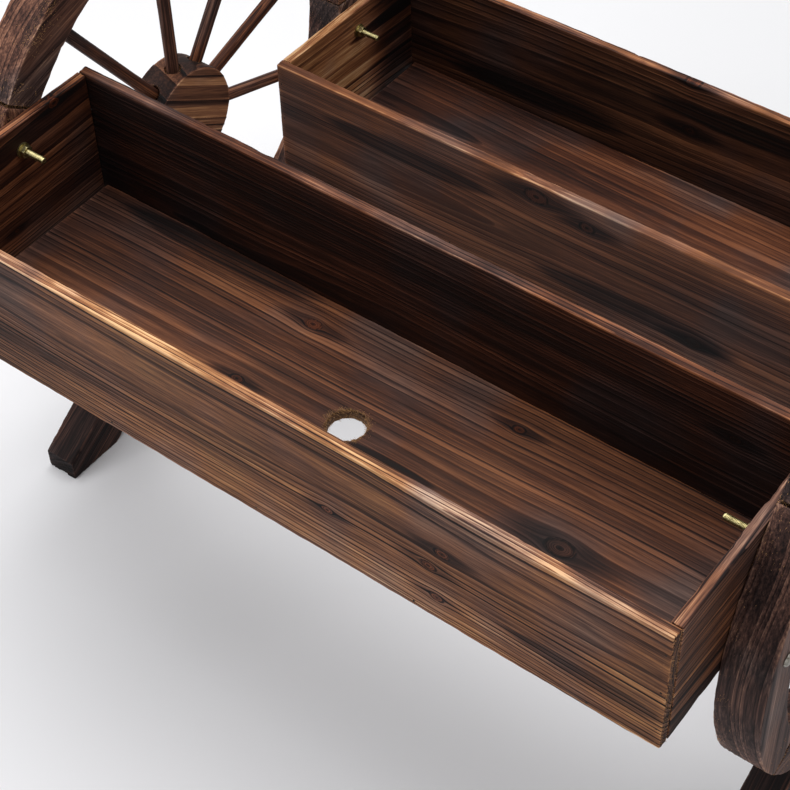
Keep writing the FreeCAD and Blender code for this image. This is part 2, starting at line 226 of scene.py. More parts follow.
def firGrain(add, place, given):
    # growth rings, fibre and burn from a place in metres, in a shader or a geometry tree
    local = add("VectorMath", place, given["Pith"], operation="SUBTRACT")
    local = add("VectorRotate", {"Vector": local, "Rotation": given["Turn"]}, rotation_type="EULER_XYZ",
                invert=True)
    local = add("VectorMath", local, {"Scale": 1000.0}, operation="SCALE")
    knotEdge, knotShade, knotAge = 20.0, 20.0, 0.0   # far from any knot, in its own radius
    for k in range(fir["knots"]):
        knot = add("SeparateXYZ", given["Knot %d" % (k + 1)])
        middle = add("CombineXYZ", knot[0], knot[1])
        away = add("VectorMath", local, middle, operation="SUBTRACT")
        shade = add("VectorMath", away, (0.22, 1, 0), operation="MULTIPLY")
        shade = add("VectorMath", shade, operation="LENGTH")["Value"]
        shade = add("Math", shade, knot[2], operation="DIVIDE")
        knotShade = add("Math", shade, knotShade, operation="MINIMUM")
        away = add("VectorMath", away, (0.62, 1, 0), operation="MULTIPLY")
        away = add("VectorMath", away, knot[2], operation="DIVIDE")
        ratio = add("VectorMath", away, operation="LENGTH")["Value"]
        held = add("Math", ratio, 1.0, operation="MAXIMUM")
        pull = add("Math", held, -2.0, operation="POWER")
        pull = add("Math", pull, knot[2], operation="MULTIPLY")
        push = add("VectorMath", away, (0, 1, 0), operation="MULTIPLY")
        push = add("VectorMath", push, {"Scale": pull}, operation="SCALE")
        local = add("VectorMath", local, push, operation="SUBTRACT")
        knotEdge = add("Math", ratio, knotEdge, operation="MINIMUM")
        size = add("Math", ratio, knot[2], operation="MULTIPLY")
        near = add("Math", ratio, 1.15, operation="LESS_THAN")
        knotAge = add("Math", size, near, knotAge, operation="MULTIPLY_ADD")

    seed = given["Seed"]
    bent = local
    for size, depth, step in ((fir["warpSize"], fir["warpDepth"], 0.0),
                              (fir["waveSize"], fir["waveDepth"], 7.0)):
        spot = add("VectorMath", local, size, operation="MULTIPLY")
        shift = add("Math", seed, step, operation="ADD")
        waves = add("TexNoise", {"Vector": spot, "W": shift, "Scale": 1.0, "Detail": 1.0},
                    noise_dimensions="4D")
        offset = add("VectorMath", waves["Color"], (0.5, 0.5, 0.5), operation="SUBTRACT")
        offset = add("VectorMath", offset, (0, depth * 2, depth * 2), operation="MULTIPLY")
        bent = add("VectorMath", bent, offset, operation="ADD")
    flat = add("VectorMath", bent, (0, 1, 1), operation="MULTIPLY")
    reach = add("VectorMath", flat, operation="LENGTH")["Value"]
    age = add("Math", reach, given["Ring"], operation="DIVIDE")
    slow = add("Math", age, 0.23, seed, operation="MULTIPLY_ADD")
    years = add("TexNoise", {"W": slow, "Scale": 1.0, "Detail": 1.0}, noise_dimensions="1D")
    age = add("Math", years, 2.6, age, operation="MULTIPLY_ADD")
    inKnot = add("MapRange", knotEdge, {"From Min": 1.12, "From Max": 0.95, "To Min": 0.0, "To Max": 1.0})
    knotAge = add("Math", knotAge, fir["knotRing"], operation="DIVIDE")
    ownAge = add("Math", age, 0.2, knotAge, operation="MULTIPLY_ADD")
    step = add("Math", inKnot, 0.5, operation="GREATER_THAN")
    change = add("Math", ownAge, age, operation="SUBTRACT")
    age = add("Math", change, step, age, operation="MULTIPLY_ADD")

    year = add("Math", age, operation="FLOOR")
    season = add("Math", age, operation="FRACT")
    late = add("MapRange", season, {"From Min": 0.56, "From Max": 0.88}, interpolation_type="SMOOTHSTEP")
    winter = add("MapRange", season, {"From Min": 0.97, "From Max": 1.0, "To Min": 1.0, "To Max": 0.0})
    late = add("Math", late, winter, operation="MULTIPLY")
    springAndHighlight = add("MapRange", season, {"From Min": 0.0, "From Max": 0.22, "To Min": 1.0, "To Max": 0.0})
    chance = add("TexWhiteNoise", {"W": year}, noise_dimensions="1D")["Value"]

    spot = add("VectorMath", local, fir["fibreSize"], operation="MULTIPLY")
    fibre = add("TexNoise", {"Vector": spot, "Scale": 1.0, "Detail": 3.0, "Roughness": 0.62})
    spot = add("VectorMath", local, fir["streakSize"], operation="MULTIPLY")
    streak = add("TexNoise", {"Vector": spot, "W": seed, "Scale": 1.0, "Detail": 4.0, "Roughness": 0.72},
                 noise_dimensions="4D")
    spot = add("VectorMath", bent, fir["scorchSize"], operation="MULTIPLY")
    scorch = add("TexNoise", {"Vector": spot, "W": seed, "Scale": 1.0, "Detail": 3.0, "Roughness": 0.55},
                 noise_dimensions="4D")
    for k in range(fir["scorches"]):
        mark = add("SeparateXYZ", given["Scorch %d" % (k + 1)])
        middle = add("CombineXYZ", mark[0], mark[1])
        away = add("VectorMath", bent, middle, operation="SUBTRACT")
        away = add("VectorMath", away, (1, 9, 0), operation="MULTIPLY")
        away = add("VectorMath", away, mark[2], operation="DIVIDE")
        ratio = add("VectorMath", away, operation="LENGTH")["Value"]
        dark = add("MapRange", ratio, {"From Min": 0.72, "From Max": 1.04, "To Min": 0.30, "To Max": 0.0},
                   interpolation_type="SMOOTHSTEP")
        scorch = add("Math", scorch, dark, operation="ADD")
    return dict(late=late, springAndHighlight=springAndHighlight, chance=chance, fibre=fibre, streak=streak, scorch=scorch, knot=inKnot,
                knotEdge=knotEdge, knotShade=knotShade, local=local)


logSockets = {"Pith": "Vector", "Turn": "Vector", "Ring": "Float", "Seed": "Float"}
for label, count in (("Knot", fir["knots"]), ("Scorch", fir["scorches"])):
    logSockets.update({"%s %d" % (label, k + 1): "Vector" for k in range(count)})


def brushedRelief():
    # wears the early wood back from a block's faces, square to them
    tree, add, given = newTree("brushedRelief", {"Geometry": "Geometry", **logSockets, "Relief": "Float",
                                                 "Fibre": "Float", "Material": "Material"}, {"Geometry": "Geometry"})
    grain = firGrain(add, add("GeometryNodeInputPosition"), given)
    early = add("Math", 1.0, grain["late"], operation="SUBTRACT")
    early = add("Math", early, given["Relief"], operation="MULTIPLY")
    softness = add("MapRange", grain["chance"], {"To Min": 0.35, "To Max": 1.0})
    early = add("Math", early, softness, operation="MULTIPLY")
    worn = add("Math", grain["fibre"], given["Fibre"], early, operation="MULTIPLY_ADD")
    normal = add("GeometryNodeInputNormal")
    along = add("VectorRotate", {"Vector": (1, 0, 0), "Rotation": given["Turn"]}, rotation_type="EULER_XYZ")
    endness = add("VectorMath", normal, along, operation="DOT_PRODUCT")["Value"]
    endness = add("Math", endness, operation="ABSOLUTE")
    endness = add("MapRange", endness, {"From Min": 0.3, "From Max": 0.9, "To Min": -1.0, "To Max": -3.4})
    sunk = add("Math", worn, endness, operation="MULTIPLY")
    offset = add("VectorMath", normal, {"Scale": sunk}, operation="SCALE")
    moved = add("GeometryNodeSetPosition", {"Geometry": given["Geometry"], "Offset": offset})
    smooth = add("GeometryNodeSetShadeSmooth", {"Geometry": moved})
    real = add("GeometryNodeRealizeInstances", {"Geometry": smooth})
    coated = add("GeometryNodeSetMaterial", {"Geometry": real, "Material": given["Material"]})
    add("NodeGroupOutput", coated)
    return tree


def burntColour():
    # colour, gloss and fine relief of the same grain
    looks = dict.fromkeys(("Tone", "Contrast", "Wear", "Fresh", "End", "Golden", "Ashen", "Streaks"), "Float")
    tree, add, given = newTree("burntFirColour", {"Place": "Vector", **logSockets, **looks, "Charred": "Vector"},
                               {"Colour": "Color", "Roughness": "Float", "Height": "Float"}, "Shader")
    grain = firGrain(add, given["Place"], given)
    # tone runs from 0, charcoal, to 1, bare wood
    tone = given["Tone"]
    for part, weight in (("chance", 0.26), ("fibre", 0.62), ("streak", 0.95)):
        share = add("Math", grain[part], 0.5, operation="SUBTRACT")
        share = add("Math", share, given["Streaks"], operation="MULTIPLY")
        tone = add("Math", share, weight, tone, operation="MULTIPLY_ADD")
    share = add("Math", 0.5, grain["scorch"], operation="SUBTRACT")
    tone = add("Math", share, 0.80, tone, operation="MULTIPLY_ADD")
    # one end may be darker: where the darkening starts and is full along the log, in mm, and how dark
    charred = add("SeparateXYZ", given["Charred"])
    along = add("SeparateXYZ", grain["local"])
    along = add("Math", grain["streak"], 70.0, along, operation="MULTIPLY_ADD")
    along = add("Math", along, 35.0, operation="SUBTRACT")
    darkening = add("MapRange", along, {"From Min": charred[0], "From Max": charred[1], "To Max": charred[2]},
                interpolation_type="SMOOTHSTEP")
    tone = add("Math", tone, darkening, operation="SUBTRACT")
    strength = add("MapRange", grain["chance"], {"From Min": 0.2, "From Max": 0.8, "To Min": 0.15,
                   "To Max": 1.35})
    line = add("Math", grain["late"], given["Contrast"], operation="MULTIPLY")
    line = add("Math", line, strength, operation="MULTIPLY")
    calm = add("MapRange", grain["knot"], {"To Min": 1.0, "To Max": 0.6})
    line = add("Math", line, calm, operation="MULTIPLY")
    tone = add("Math", tone, line, operation="SUBTRACT")
    # the early wood right after each late line is lightened: pale early wood, and a painted highlight along the edge
    # of each raised late line
    tone = add("Math", grain["springAndHighlight"], 0.10, tone, operation="MULTIPLY_ADD")
    # a knot is reddish, has a broken charred outline and darkens the wood on either side of it
    rim = add("MapRange", grain["knotShade"], {"From Min": 0.7, "From Max": 2.1, "To Min": 0.24, "To Max": 0.0},
              interpolation_type="SMOOTHSTEP")
    tone = add("Math", tone, rim, operation="SUBTRACT")
    tone = add("Math", grain["knot"], 0.05, tone, operation="MULTIPLY_ADD")
    broken = add("TexNoise", {"Vector": grain["local"], "Scale": 0.35, "Detail": 2.0})
    broken = add("MapRange", broken, {"From Min": 0.40, "From Max": 0.60, "To Min": 0.05, "To Max": 0.36})
    split = add("Math", grain["knotEdge"], 1.0, operation="SUBTRACT")
    split = add("Math", split, operation="ABSOLUTE")
    split = add("MapRange", split, {"From Min": 0.05, "From Max": 0.22, "To Min": 1.0, "To Max": 0.0})
    split = add("Math", split, broken, operation="MULTIPLY")
    tone = add("Math", tone, split, operation="SUBTRACT")
    heart = add("MapRange", grain["knotEdge"], {"From Min": 0.12, "From Max": 0.34, "To Min": 0.26,
                "To Max": 0.0})
    tone = add("Math", tone, heart, operation="SUBTRACT")
    # hands, packing and the sander lighten the arrises, and a painted highlight lightens the outer top arris of some
    # boards
    patch = add("TexNoise", {"Vector": grain["local"], "Scale": 0.02, "Detail": 3.0})
    patch = add("MapRange", patch, {"From Min": 0.36, "From Max": 0.62, "To Min": 0.45, "To Max": 1.0})
    worn = add("Math", given["Wear"], patch, operation="MULTIPLY")
    lines = add("MapRange", grain["streak"], {"From Min": 0.36, "From Max": 0.60, "To Min": 0.45,
                "To Max": 1.25})
    worn = add("Math", worn, lines, operation="MULTIPLY")
    tone = add("Math", worn, 0.55, tone, operation="MULTIPLY_ADD")
    tone = add("Math", given["End"], -0.16, tone, operation="MULTIPLY_ADD")

    stops = (0.0, 0.18, 0.36, 0.52, 0.68, 0.84, 1.0)
    brown, grey, gold = (addRamp(add("ValToRGB", tone), list(zip(stops, codes))) for codes in (
        ("#0b0504", "#200f0a", "#412317", "#673d28", "#8d583a", "#b67f55", "#e0b285"),
        ("#0b0809", "#1c1414", "#362927", "#53403b", "#735c53", "#9c8070", "#c7a892"),
        ("#0b0705", "#20140e", "#412b1d", "#66462f", "#8b613c", "#b38352", "#deb07a")))
    wide = add("TexNoise", {"Vector": grain["local"], "Scale": 0.011, "Detail": 2.0})
    ashen = add("MapRange", wide, {"From Min": 0.48, "From Max": 0.76})
    ashen = add("Math", ashen, given["Ashen"], operation="ADD", use_clamp=True)
    body = add("Mix", ashen, {6: brown, 7: grey}, data_type="RGBA")
    olive = add("MapRange", wide, {"From Min": 0.34, "From Max": 0.60, "To Min": 1.0, "To Max": 0.25})
    olive = add("Math", olive, given["Golden"], operation="MULTIPLY")
    olive = add("Math", worn, -0.4, olive, operation="MULTIPLY_ADD", use_clamp=True)
    body = add("Mix", olive, {6: body[2], 7: gold}, data_type="RGBA")
    body = add("Mix", grain["knot"], {6: body[2], 7: linear("#ffe0cc")}, data_type="RGBA",
               blend_type="MULTIPLY")
    # a cut shows brown wood, and the fibres torn up from it, marked above 1, show pale
    pale = add("Math", given["Fresh"], 1.0, operation="SUBTRACT", use_clamp=True)
    pale = add("Math", pale, 0.55, -0.45, operation="MULTIPLY_ADD")
    pale = add("Math", grain["streak"], 1.4, pale, operation="MULTIPLY_ADD")
    bare = add("Mix", pale, {6: linear("#2a160c"), 7: linear("#c99a69")}, data_type="RGBA")
    colour = add("Mix", given["Fresh"], {6: body[2], 7: bare[2]}, data_type="RGBA")
    gloss = add("MapRange", tone, {"From Min": 0.1, "From Max": 0.9, "To Min": 0.56, "To Max": 0.38})
    gloss = add("Math", grain["fibre"], 0.16, gloss, operation="MULTIPLY_ADD")
    height = add("Math", grain["late"], 0.6, grain["fibre"], operation="MULTIPLY_ADD")
    add("NodeGroupOutput", colour[2], gloss, height)
    return tree


firRelief = brushedRelief()
firColour = burntColour()


def woodMaterial(name, wood, placeName=None):
    material, add = newMaterial(name)
    if placeName:
        place = add("Attribute", attribute_name=placeName)["Vector"]
    else:
        place = add("TexCoord")["Object"]
    marks = {mark: add("Attribute", attribute_name=mark.lower())["Fac"] for mark in ("Wear", "Fresh", "End")}
    values = {key: wood[key] for key in wood if key not in ("Relief", "Fibre")}
    look = add("Group", {**values, "Place": place, **marks}, node_tree=firColour)
    bump = add("Bump", {"Strength": 0.55, "Distance": 0.35 * mm, "Height": look["Height"]})
    skin = add("BsdfPrincipled", {"Base Color": look["Colour"], "Roughness": look["Roughness"],
                                  "IOR": 1.46, "Specular IOR Level": 0.13, "Normal": bump})
    add("OutputMaterial", {"Surface": skin})
    return material


def logFrame(centre, grain, outward, depth, shift=0.0, tilt=(0.0, 0.0)):
    # the log's own axes: X along the grain, Z from the pith out through the piece
    along = Vector(grain).normalized()
    out = Vector(outward)
    out = (out - along * out.dot(along)).normalized()
    side = out.cross(along)
    turn = Matrix((along, side, out)).transposed()
    turn = turn @ Matrix.Rotation(tilt[0], 3, "Y") @ Matrix.Rotation(tilt[1], 3, "Z")
    pith = Vector(centre) - out * depth + side * shift
    return pith, turn


def woodOf(centre, grain, outward, depth, shift=0.0, tilt=(0.0, 0.0), knots=(), scorches=(), seed=1.0,
           ring=3.6, tone=0.42, contrast=0.34, relief=0.22, fibre=0.16, golden=0.0, ashen=0.0, streaks=1.0,
           charred=(0.0, 1.0, 0.0)):
    pith, turn = logFrame(centre, grain, outward, depth, shift, tilt)
    wood = {"Pith": pith, "Turn": turn.to_euler(), "Ring": ring, "Seed": seed, "Tone": tone, "Contrast": contrast,
            "Relief": relief * mm, "Fibre": fibre * mm, "Golden": golden,
            "Ashen": ashen, "Streaks": streaks, "Charred": charred}
    for label, count, marks in (("Knot", fir["knots"], knots), ("Scorch", fir["scorches"], scorches)):
        for k in range(count):
            wood["%s %d" % (label, k + 1)] = Vector((9e3, 9e3, 1.0))   # out of the way
        for k, (spot, size) in enumerate(marks):
            local = turn.transposed() @ (Vector(spot) * mm - pith) / mm
            wood["%s %d" % (label, k + 1)] = Vector((local.x, local.y, size))
    return wood


def latticePlanes(size, step, arris):
    # lattice planes across a block, closer together at its arrises
    near = arris * np.array([0.0, 0.22, 0.55])
    middle = np.linspace(arris, size - arris, max(2, round((size - 2 * arris) / step) + 1))
    return np.concatenate([near, middle, size - near[::-1]]) - size / 2


def shellOfBlock(planes):
    # points on the outside of a block lattice, and its quads, facing outwards
    index = np.full([len(p) for p in planes], -1)
    outside = np.zeros(index.shape, bool)
    sides = []
    for axis in range(3):
        for end in (0, -1):
            cut = [slice(None)] * 3
            cut[axis] = end
            outside[tuple(cut)] = True
            sides.append((axis, end, tuple(cut)))
    index[outside] = np.arange(outside.sum())
    points = np.stack(np.meshgrid(*planes, indexing="ij"), -1)[outside]
    quads = []
    for axis, end, cut in sides:
        sheet = index[cut]
        quad = np.stack([sheet[:-1, :-1], sheet[1:, :-1], sheet[1:, 1:], sheet[:-1, 1:]], -1).reshape(-1, 4)
        quads.append(quad if (end == -1) == (axis != 1) else quad[:, ::-1])
    return points, np.concatenate(quads)


def wornBlock(points, size, arris, longAxis, seed, chips=5, chipSize=2.4):
    # rounds a block's arrises, more in some places than others, with a few chips knocked out
    random = np.random.default_rng(seed)
    half = np.asarray(size) / 2
    others = [a for a in range(3) if a != longAxis]
    along = points[:, longAxis]
    corner = np.sign(points[:, others[0]]) + 2 * np.sign(points[:, others[1]])
    radius = np.full(len(points), arris)
    for wave in (260.0, 97.0, 41.0, 17.0):
        radius += arris * 0.16 * np.sin(along * 2 * math.pi / wave + corner * random.uniform(1, 3)
                                        + random.uniform(0, 6))
    for k in range(chips):
        spot, edge = random.uniform(-half[longAxis], half[longAxis]), random.choice([-3, -1, 1, 3])
        length, depth = random.uniform(1.5, 7.0), random.uniform(0.4, 1.0) * chipSize
        radius += np.where(corner == edge, depth * np.exp(-((along - spot) / length) ** 2), 0)
    radius = np.clip(radius, 0.25 * arris, 0.45 * np.min(size))[:, None]
    inner = np.clip(points, -half + radius, half - radius)
    away = points - inner
    reach = np.linalg.norm(away, axis=1, keepdims=True)
    return inner + away * np.where(reach > 1e-6, radius / np.maximum(reach, 1e-6), 0)


def markWood(thing, block, size, grainAxis, top=None, fresh=None, torn=None, end=None):
    # wear near the arrises and on top faces, a painted highlight along an outer top arris, end grain and fresh cuts
    # for the colour, and where fibres stand up
    half = np.asarray(size) / 2
    gap = half - np.abs(block)
    ordered = np.sort(gap, axis=1)
    wear = 0.62 * np.exp(-(np.clip(ordered[:, 1], 0, None) / 1.7) ** 2)
    if top is not None:
        up, amount, outer = top
        onTop = np.clip(1.6 - (half[up] - block[:, up]), 0, 1)
        wear = np.maximum(wear, onTop * amount)
        # the outer arris along the top gets a painted highlight, stored with the wear
        if outer is not None:
            axis, way, shine = outer
            edge = np.maximum(half[up] - block[:, up], 0) ** 2 + np.maximum(half[axis] - way * block[:, axis], 0) ** 2
            wear = np.maximum(wear, shine * np.exp(-edge / 5.5))
    if end is None:
        end = np.where((gap[:, grainAxis] <= ordered[:, 0] + 0.05), 1.0, 0.0)
    cut = np.zeros(len(block)) if fresh is None else fresh
    if torn is None:
        torn = np.exp(-(np.clip(gap[:, grainAxis], 0, None) / 1.6) ** 2) * np.exp(-(ordered[:, 1] / 2.5) ** 2)
    for name, values in (("wear", wear), ("end", end), ("fresh", cut), ("torn", torn)):
        layer = thing.data.attributes.new(name, "FLOAT", "POINT")
        layer.data.foreach_set("value", values.astype(np.float32))


def pointsOf(thing):
    flat = np.empty(len(thing.data.vertices) * 3, np.float32)
    thing.data.vertices.foreach_get("co", flat)
    return flat.reshape(-1, 3)


def brushed(name, points, quads, wood, material, turnOver=False):
    # gives a block its relief and makes it a finished plain mesh
    draft = meshObject(name, points * mm, quads[:, ::-1] if turnOver else quads)
    return bakeNodes(draft, name, firRelief, {**wood, "Material": material})


def tornFibres():
    # stands fibres up on a surface where its torn attribute says so, leaning along the grain
    tree, add, given = newTree("tornFibres", {"Geometry": "Geometry", "Along": "Vector", "Density": "Float",
                                              "Length": "Float", "Width": "Float", "Seed": "Int",
                                              "Material": "Material"}, {"Geometry": "Geometry"})
    torn = add("GeometryNodeInputNamedAttribute", {"Name": "torn"}, data_type="FLOAT")
    amount = add("Math", torn, given["Density"], operation="MULTIPLY")
    roots = add("GeometryNodeDistributePointsOnFaces", {"Mesh": given["Geometry"], "Density": amount,
                "Seed": given["Seed"]})
    fibre = add("GeometryNodeMeshCone", {"Vertices": 4, "Side Segments": 1, "Radius Top": 0.0,
                "Radius Bottom": given["Width"], "Depth": given["Length"]})
    buried = add("Math", given["Length"], -0.28, operation="MULTIPLY")
    buried = add("CombineXYZ", {2: buried})
    fibre = add("GeometryNodeTransform", {"Geometry": fibre, "Translation": buried})
    fibre = add("GeometryNodeStoreNamedAttribute", {"Geometry": fibre, "Name": "fresh", "Value": 1.9},
                data_type="FLOAT", domain="POINT")
    way = add("FunctionNodeRandomValue", {2: -1.0, 3: 1.0, "ID": add("GeometryNodeInputIndex"), "Seed": 3},
              data_type="FLOAT")[1]
    along = add("VectorMath", given["Along"], {"Scale": way}, operation="SCALE")
    rise = add("VectorMath", roots[1], {"Scale": 0.42}, operation="SCALE")
    lean = add("VectorMath", along, rise, operation="ADD")
    turn = add("FunctionNodeAlignRotationToVector", {"Vector": lean}, axis="Z")
    size = add("FunctionNodeRandomValue", {2: 0.35, 3: 1.0, "Seed": 9}, data_type="FLOAT")[1]
    stood = add("GeometryNodeInstanceOnPoints", {"Points": roots, "Instance": fibre, "Rotation": turn,
                "Scale": size})
    both = add("GeometryNodeJoinGeometry", given["Geometry"])
    tree.links.new(stood[0], both[0].node.inputs[0])
    real = add("GeometryNodeRealizeInstances", {"Geometry": both})
    coated = add("GeometryNodeSetMaterial", {"Geometry": real, "Material": given["Material"]})
    add("NodeGroupOutput", coated)
    return tree


fibres = dict(group=tornFibres(), margin=2e-5)   # margin in metres


def tearFibres(thing, along, density, length, width, seed):
    # density is fibres in a square centimetre where the wood is torn most
    thing = bakeNodes(thing, thing.name, fibres["group"],
                      {"Along": Vector(along).normalized(), "Density": density * 1e4, "Length": length * mm,
                       "Width": width * mm, "Seed": seed, "Material": thing.data.materials[0]})
    # none reaches out of the CAD's box
    kept = np.clip(pointsOf(thing), np.array(cadLow) + fibres["margin"], np.array(cadHigh) - fibres["margin"])
    thing.data.vertices.foreach_set("co", kept.astype(np.float32).ravel())
    thing.data.update()
    return thing


def finishPiece(thing, slot, *nodes):
    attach(thing, "root")
    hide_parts(*nodes)


# trough boards
trough = dict(acrossStep=0.9, alongStep=5.0, arris=1.3, relief=0.20, drain=16.0, drainAt=(7.0, -5.0))
hubHeight = 310.0

# one dictionary for a board: outward is the side shown, face its place in mm, and a knot or scorch is
# its two places on that face and its radius. The darker end is where darkening starts, is full, and how much.
# top is how worn the upper edge is, and along which side its outer arris gets a painted highlight, and how much.
boards = {
    "front_trough_front_board": dict(
        outward=(0, -1, 0), face=-338, depth=58, shift=30, tilt=(0.002, -0.012), seed=3.2, tone=0.55, ring=3.0,
        contrast=0.56, golden=0.75, streaks=0.9, charred=(-110.0, -320.0, 0.10), top=(2, 0.66, (1, -1, 1.25)),
        knots=[(175.9, 398.5, 4.2), (163.8, 377.6, 4.2), (170.9, 345.6, 3.8), (72.4, 373.5, 3.4)],
        scorches=[(-208, 360, 17), (298, 354, 78)]),
    "front_trough_back_board": dict(
        outward=(0, -1, 0), face=-130, depth=60, shift=-50, tilt=(0.003, 0.006), seed=8.1, tone=0.20, ring=3.0,
        contrast=0.20, streaks=0.6, top=(2, 0.48, (1, -1, 0.9)), knots=[(288.5, 402.4, 3.5)]),
    "front_trough_left_end": dict(
        outward=(1, 0, 0), face=-350, depth=60, shift=45, tilt=(0.0, 0.02), seed=12.4, tone=0.46, ring=3.8,
        streaks=0.8, top=(2, 0.16, None), knots=[(-170.2, 445.5, 4), (-237, 350, 2.2)]),
    "front_trough_right_end": dict(
        outward=(1, 0, 0), depth=60, shift=-54, tilt=(0.0, -0.02), seed=16.9, tone=0.46, ring=4.2, contrast=0.40,
        golden=0.4, chips=16, chipSize=3.6, top=(2, 0.42, (0, -1, 0.6))),
    # the darker end of the bottom darkens its left part: painted shade where the floor shows no sheen
    "front_trough_bottom": dict(
        outward=(0, 0, 1), face=329.5, depth=75, shift=-55, tilt=(0.003, 0.012), seed=21.3, tone=0.46, ring=4.6,
        contrast=0.26, relief=0.12, streaks=0.55, golden=0.3, charred=(-60.0, -260.0, 0.06),
        knots=[(-85.3, -161.7, 5), (-96.8, -245.9, 4), (211.3, -238.3, 7.5), (120.2, -159.2, 3.6)],
        scorches=[(-205, -141, 120), (60, -246, 46)]),
    "rear_trough_front_board": dict(
        outward=(0, -1, 0), face=120, depth=34, shift=-8, tilt=(0.004, 0.010), seed=27.7, tone=0.43, ring=3.6,
        contrast=0.13, relief=0.05, streaks=0.45, golden=0.35, top=(2, 0.34, (1, -1, 0.95)),
        knots=[(-51.5, 284.7, 7.5), (4.8, 276, 5), (124.6, 197.6, 5)],
        scorches=[(-200, 262, 110), (60, 200, 120)]),
    "rear_trough_back_board": dict(
        outward=(0, -1, 0), face=328, depth=40, shift=14, tilt=(-0.004, 0.022), seed=31.5, tone=0.31, ring=5.0,
        contrast=0.13, relief=0.05, streaks=0.6, golden=0.6, top=(2, 0.55, (1, 1, 0.5)),
        knots=[(-8.2, 243.9, 5), (-12, 301.3, 5)], scorches=[(-190, 205, 120), (40, 270, 110)]),
    "rear_trough_left_end": dict(
        outward=(1, 0, 0), depth=52, shift=30, tilt=(0.0, -0.05), seed=36.2, tone=0.84, ring=6.0, contrast=0.40,
        streaks=0.9, golden=0.3, charred=(14.0, 66.0, 0.52), top=(2, 0.3, None)),
    "rear_trough_right_end": dict(
        outward=(1, 0, 0), depth=70, shift=-48, tilt=(0.0, 0.02), seed=40.8, tone=0.46, ring=3.8,
        top=(2, 0.3, None)),
    "rear_trough_bottom": dict(
        outward=(0, 0, 1), face=180.5, depth=38, shift=22, tilt=(0.006, -0.022), seed=45.1, tone=0.44, ring=4.2,
        contrast=0.12, relief=0.05, streaks=0.5, charred=(-40.0, -230.0, 0.12),
        scorches=[(-60, 200, 60), (230, 270, 90)]),
}
# fibres in a square centimetre where torn most, their length and width in mm
boardFibres = {"front_trough_front_board": (50, 2.4, 0.24), "front_trough_bottom": (80, 4.2, 0.22),
               "rear_trough_bottom": (80, 4.2, 0.22)}


def marksOn(facts, kind):
    # knots or scorches as places in the frame, with their radii
    marks = []
    for first, second, radius in facts.get(kind, ()):
        spot = [first, second]
        spot.insert([abs(c) for c in facts["outward"]].index(1), facts["face"])
        marks.append((spot, radius))
    return marks


def boreRough(thing, bores, seed, count=72):
    # bores holes with torn walls. A bore is its origin, its axis, and steps of (along, radius, tear).
    random = np.random.default_rng(seed)
    turns = np.arange(count) * 2 * math.pi / count
    points, faces = [], []
    for origin, axis, steps in bores:
        axis = Vector(axis).normalized()
        across = axis.orthogonal().normalized()
        up = axis.cross(across)
        tear = random.normal(0, 1, count)
        tear = (tear + 0.6 * np.roll(tear, 1) + 0.6 * np.roll(tear, -1)) / 1.6
        first = len(points) * count
        for along, radius, rough in steps:
            reach = radius + rough * tear + rough * 0.5 * random.random(count)
            ring = np.outer(np.cos(turns) * reach, across) + np.outer(np.sin(turns) * reach, up)
            points.append(ring + np.asarray(origin) + np.asarray(axis) * along)
        for a in range(len(steps) - 1):
            for k in range(count):
                n = (k + 1) % count
                low, high = first + a * count, first + (a + 1) * count
                faces.append([low + k, low + n, high + n, high + k])
        last = first + (len(steps) - 1) * count
        faces += [[first + k for k in range(count)][::-1], [last + k for k in range(count)]]
    return cutAway(thing, np.concatenate(points), faces)


for name, facts in boards.items():
    low, high = (np.array(corner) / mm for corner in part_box(name))
    centre, size = (low + high) / 2, high - low
    grainAxis = 1 if name.endswith("end") else 0
    grain = Vector((0, 1, 0)) if grainAxis else Vector((1, 0, 0))
    looks = {key: facts[key] for key in ("seed", "ring", "tone", "contrast", "golden", "streaks", "charred")
             if key in facts}
    wood = woodOf(Vector(centre) * mm, grain, facts["outward"], facts["depth"] * mm, facts["shift"] * mm,
                  facts["tilt"], marksOn(facts, "knots"), marksOn(facts, "scorches"),
                  relief=facts.get("relief", trough["relief"]), **looks)
    material = woodMaterial("burntBrushedFir_" + name, wood)
    steps = [trough["acrossStep"]] * 3
    steps[grainAxis] = trough["alongStep"]
    planes = [latticePlanes(size[a], steps[a], trough["arris"] * 1.4) for a in range(3)]
    points, quads = shellOfBlock(planes)
    points = wornBlock(points, size, trough["arris"], grainAxis, int(facts["seed"] * 10), facts.get("chips", 5),
                       facts.get("chipSize", 2.4)) + centre
    thing = brushed(name + "_wood", points, quads, wood, material)
    fresh = tornAt = None
    if name.endswith("bottom"):
        middle = (trough["drainAt"][0], centre[1] + trough["drainAt"][1], centre[2])
        bore = [(along, trough["drain"] + wider, tear) for along, wider, tear in (
            (-12, 0.5, 0.3), (-5.3, 0.4, 0.3), (-4, 0, 0.12), (3.0, 0, 0.15), (4.6, 0.6, 0.45), (12, 1.6, 0.7))]
        thing = boreRough(thing, [(middle, (0, 0, 1), bore)], 5, 120)
        place = pointsOf(thing) / mm
        reach = np.hypot(place[:, 0] - middle[0], place[:, 1] - middle[1]) - trough["drain"]
        lip = np.clip(np.abs(place[:, 2] - centre[2]) - 3.2, 0, 1)
        fresh = np.exp(-(np.clip(reach - 0.5, 0, None) / 0.9) ** 2) * (0.35 + 0.5 * lip)
        tornAt = np.exp(-((reach - 0.6) / 1.6) ** 2) * lip
    markWood(thing, pointsOf(thing) / mm - centre, size, grainAxis, facts.get("top"), fresh, tornAt)
    if name in boardFibres:
        thing = tearFibres(thing, grain, *boardFibres[name], int(facts["seed"]))
    finishPiece(thing, "charred_plank_wood", name)
print("trough boards ready")


